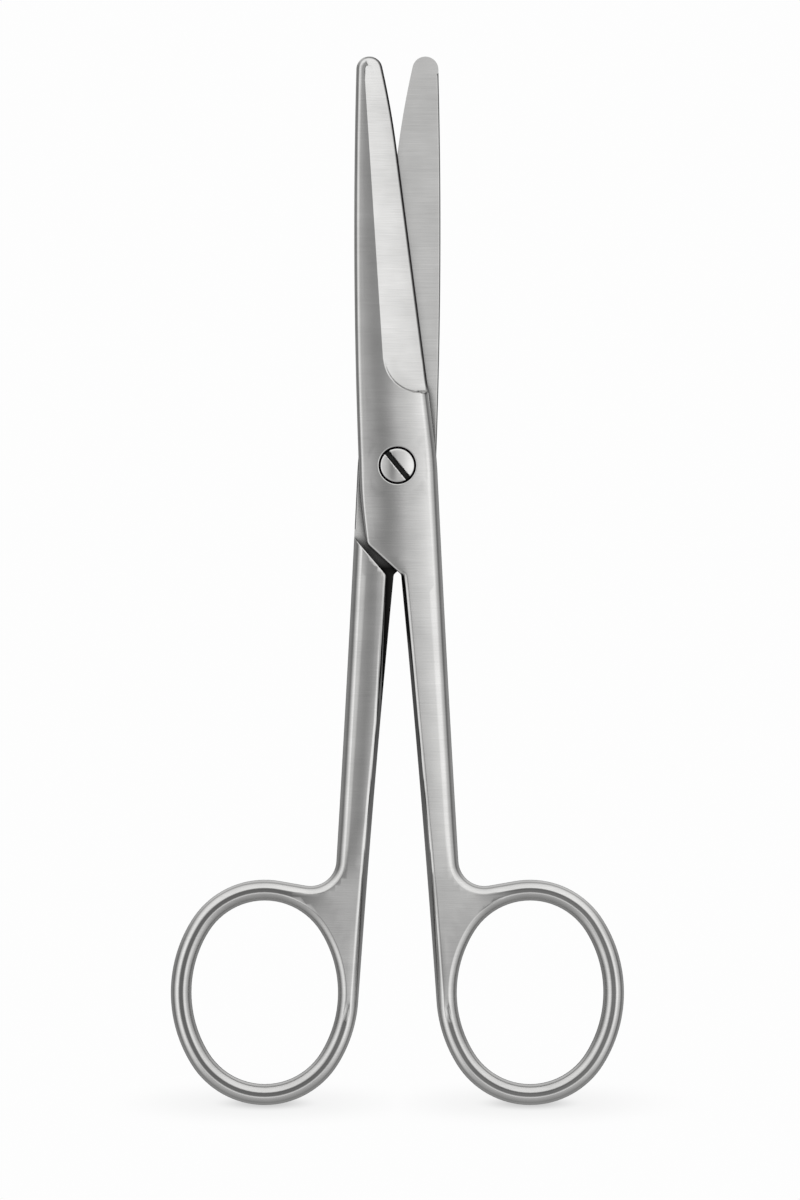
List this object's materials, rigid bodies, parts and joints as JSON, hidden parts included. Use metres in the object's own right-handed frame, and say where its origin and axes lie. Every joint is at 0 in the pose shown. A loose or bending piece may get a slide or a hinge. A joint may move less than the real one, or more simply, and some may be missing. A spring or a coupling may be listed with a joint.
{
  "type": "dissecting scissors",
  "caption": "Straight blunt-tipped dissecting scissors: two steel halves with ground facets and finger rings, turning on a slotted pivot screw.",
  "frame": {"origin": "on the pivot axis, at the plane of the rear half's flat outer joint face, which the scissors lie on", "axes": "+Y from the pivot towards the blade tips, +Z along the pivot axis towards the screw head, +X across, towards the front half's finger ring"},
  "size_m": [0.073, 0.1687, 0.0061],
  "materials": {
    "blade_steel": "satin, brushed across",
    "screw_steel": "fine turned and polished"
  },
  "bodies": {
    "rear": {"rear_half": "blade_steel", "pivot_screw": "screw_steel"},
    "front": {"front_half": "blade_steel"}
  },
  "joints": [
    {"name": "pivot", "type": "hinge", "parent": "rear", "child": "front", "pos_m": [0, 0, 0], "axis": [0, 0, 1], "range_deg": [-7.4, 55]}
  ]
}
